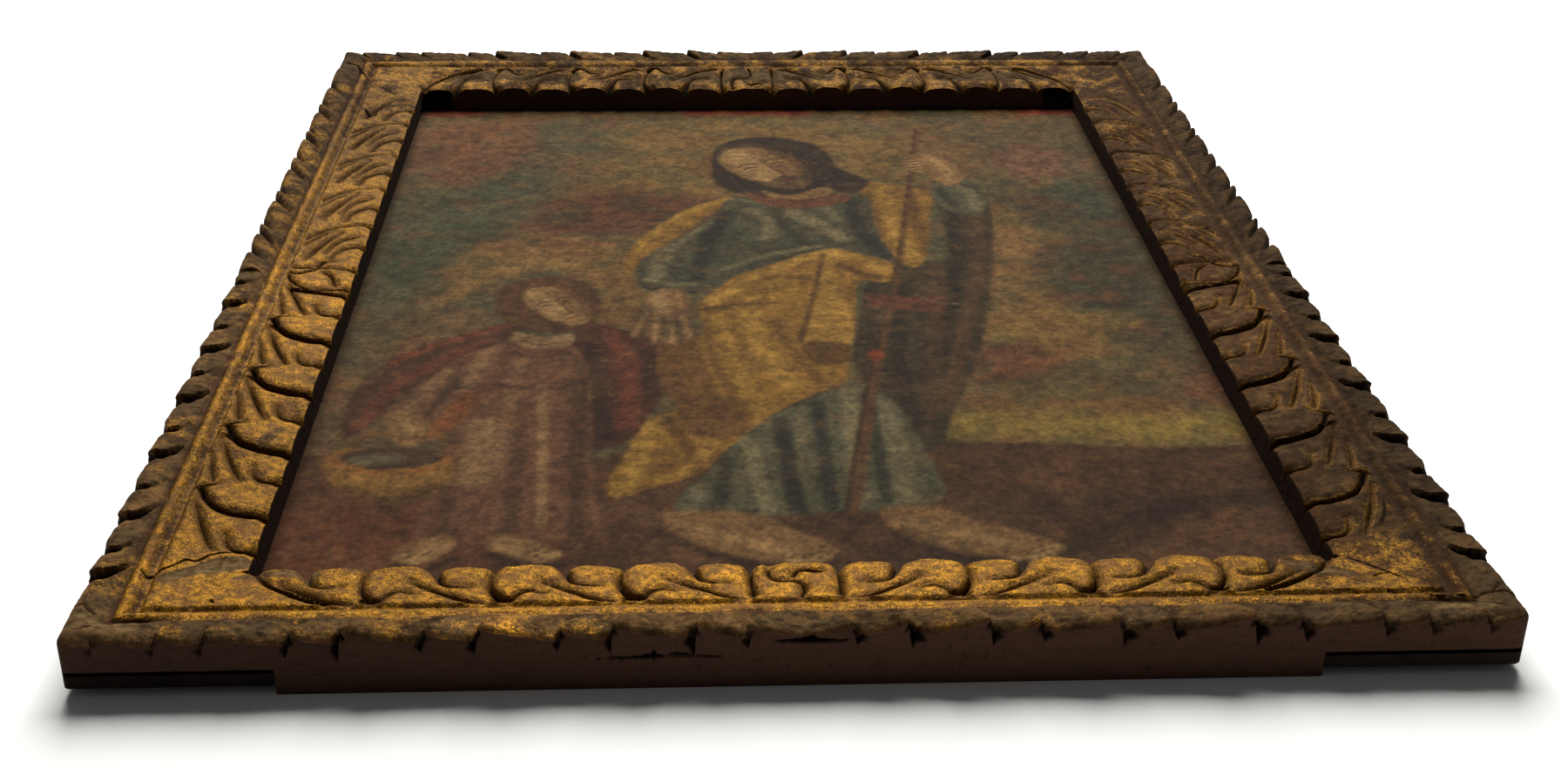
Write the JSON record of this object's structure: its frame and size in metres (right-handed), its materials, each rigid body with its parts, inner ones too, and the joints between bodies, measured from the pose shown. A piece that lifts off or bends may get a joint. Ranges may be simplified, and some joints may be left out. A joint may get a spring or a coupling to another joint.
{
  "type": "framed painting",
  "caption": "Old painting on canvas in a carved and gilded wood frame with curled leaves, a scalloped outer edge and lapped mitre corners, lying on its back.",
  "frame": {"origin": "centre of the footprint, on the table that the bottom and top rails rest on", "axes": "+Z out of the picture's face, +Y towards the picture's top, +X towards the picture's right"},
  "size_m": [0.42, 0.54, 0.0217],
  "materials": {
    "bright_gilding": "water gilding on red-brown bole over carved wood, rubbed and grimy, bare dark wood on the sides",
    "dull_gilding": "the same gilding, mostly worn to brown and grey, with gold left on a few crests",
    "old_paint": "oil paint on a coarse woven canvas, darkened and worn"
  },
  "bodies": {
    "root": {"bottom_rail": "bright_gilding", "left_rail": "bright_gilding", "top_rail": "dull_gilding", "right_rail": "dull_gilding", "painted_canvas": "old_paint"}
  },
  "joints": []
}
